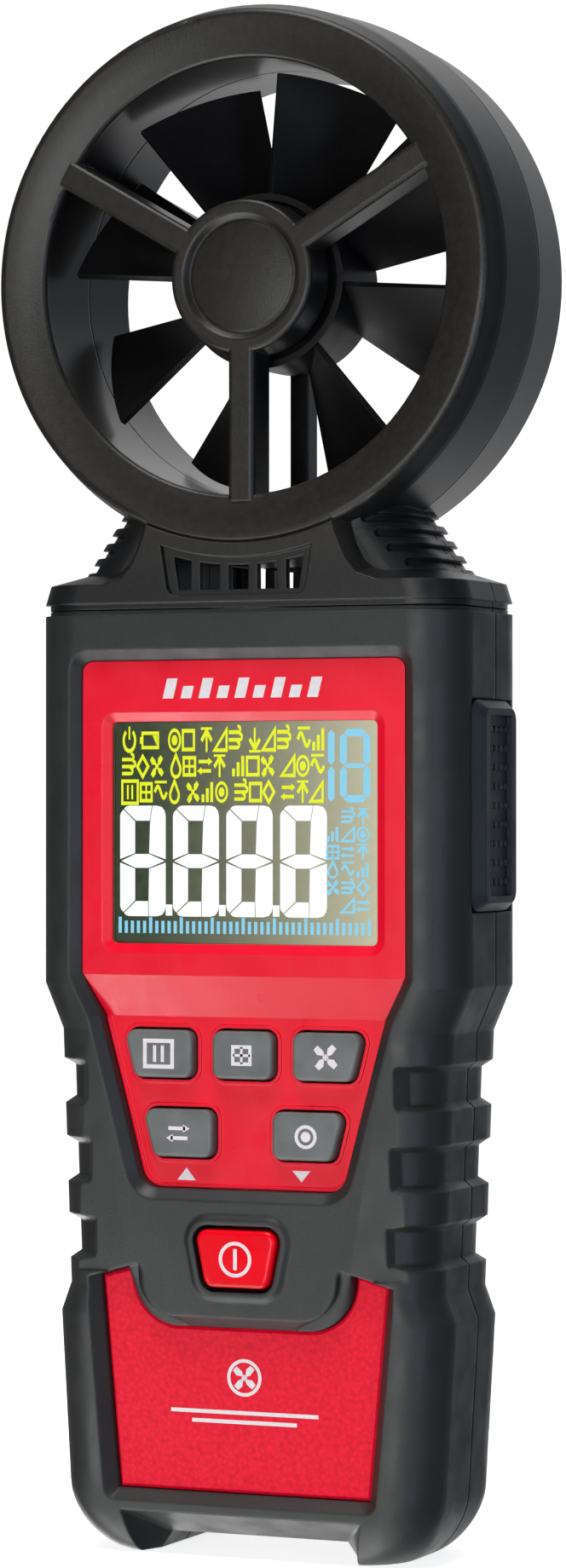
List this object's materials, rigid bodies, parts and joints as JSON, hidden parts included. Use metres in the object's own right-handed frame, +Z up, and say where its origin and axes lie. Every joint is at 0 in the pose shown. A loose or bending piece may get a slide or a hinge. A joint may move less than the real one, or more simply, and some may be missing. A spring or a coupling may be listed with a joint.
{
  "type": "handheld weather meter",
  "caption": "Handheld weather meter: a ringed vane head on a short swivel neck over a slim grip with display, keys, battery door and tripod socket.",
  "frame": {"origin": "on the floor plane under the middle of the body, the meter standing on its feet", "axes": "+Z up along the grip to the vane head, -Y the way the display and the vane ring face, +X to the right seen from the front"},
  "size_m": [0.072, 0.0286, 0.2015],
  "materials": {
    "case_black": "fine spark-eroded texture, charcoal",
    "panel_red": "satin red",
    "panel_red_grained": "satin red with a fine mottled grain",
    "window_clear": "clear flat lens",
    "display_face": "dark green-grey liquid crystal cell",
    "light_guide": "white diffuser",
    "key_grey": "silky dark grey",
    "power_red": "gloss red",
    "silicone_black": "matt silicone",
    "cover_rubber": "matt elastomer",
    "vane_black": "satin black",
    "steel": "turned steel",
    "screw_black": "black oxide",
    "brass": "turned brass",
    "board_green": "solder mask",
    "chip_black": "moulded epoxy",
    "cell_wrap": "printed wrap, no lettering",
    "spring_steel": "bright nickel plate",
    "washer_white": "low-friction plastic",
    "lead_black": "soft sleeve"
  },
  "bodies": {
    "body": {"front_case": "case_black", "rear_case": "case_black", "upper_panel": "panel_red", "lower_panel": "panel_red_grained", "window_lens": "window_clear", "lcd_glass": "display_face", "backlight": "light_guide", "lcd_connector_strip": "silicone_black", "main_board": "board_green", "board_chips": "chip_black", "dome_switches": "spring_steel", "keypad_mat": "silicone_black", "buzzer": "chip_black", "data_socket": "spring_steel", "battery_cell_1": "cell_wrap", "battery_cell_2": "cell_wrap", "battery_cell_3": "cell_wrap", "battery_springs": "spring_steel", "battery_plates": "spring_steel", "case_screws": "screw_black", "door_insert": "brass", "tripod_insert": "brass", "swivel_washer": "washer_white", "head_lead": "lead_black", "head_lead_plug": "washer_white"},
    "head": {"head_front_shell": "case_black", "head_rear_shell": "case_black", "head_screws": "screw_black", "front_bearing": "brass", "rear_bearing": "brass", "pickup_sensor": "chip_black", "air_thermistor": "chip_black", "swivel_spigot": "steel", "swivel_clip": "spring_steel"},
    "vane": {"impeller": "vane_black", "impeller_axle": "steel", "pickup_magnet": "steel"},
    "port_cover": {"port_cover": "cover_rubber"},
    "battery_door": {"battery_door": "case_black", "door_screw": "screw_black"},
    "key_hold": {"key_hold": "key_grey"},
    "key_set": {"key_set": "key_grey"},
    "key_func": {"key_func": "key_grey"},
    "key_unit": {"key_unit": "key_grey"},
    "key_rec": {"key_rec": "key_grey"},
    "power_key": {"power_key": "power_red"}
  },
  "joints": [
    {"name": "head_swivel", "type": "hinge", "parent": "body", "child": "head", "pos_m": [0, 0, 0.1224], "axis": [0, 0, 1], "range_deg": [-90, 90]},
    {"name": "vane_spin", "type": "hinge", "parent": "head", "child": "vane", "pos_m": [0, 0, 0.1655], "axis": [0, 1, 0], "continuous": true},
    {"name": "port_cover_pull", "type": "slide", "parent": "body", "child": "port_cover", "axis": [1, 0, 0], "range_m": [0, 0.012]},
    {"name": "battery_door_lift", "type": "slide", "parent": "body", "child": "battery_door", "axis": [0, 1, 0], "range_m": [0, 0.02]},
    {"name": "key_hold_press", "type": "slide", "parent": "body", "child": "key_hold", "axis": [0, 1, 0], "range_m": [0, 0.0008], "stiffness_N_per_m": 800},
    {"name": "key_set_press", "type": "slide", "parent": "body", "child": "key_set", "axis": [0, 1, 0], "range_m": [0, 0.0008], "stiffness_N_per_m": 800},
    {"name": "key_func_press", "type": "slide", "parent": "body", "child": "key_func", "axis": [0, 1, 0], "range_m": [0, 0.0008], "stiffness_N_per_m": 800},
    {"name": "key_unit_press", "type": "slide", "parent": "body", "child": "key_unit", "axis": [0, 1, 0], "range_m": [0, 0.0008], "stiffness_N_per_m": 800},
    {"name": "key_rec_press", "type": "slide", "parent": "body", "child": "key_rec", "axis": [0, 1, 0], "range_m": [0, 0.0008], "stiffness_N_per_m": 800},
    {"name": "power_key_press", "type": "slide", "parent": "body", "child": "power_key", "axis": [0, 1, 0], "range_m": [0, 0.0008], "stiffness_N_per_m": 800}
  ]
}
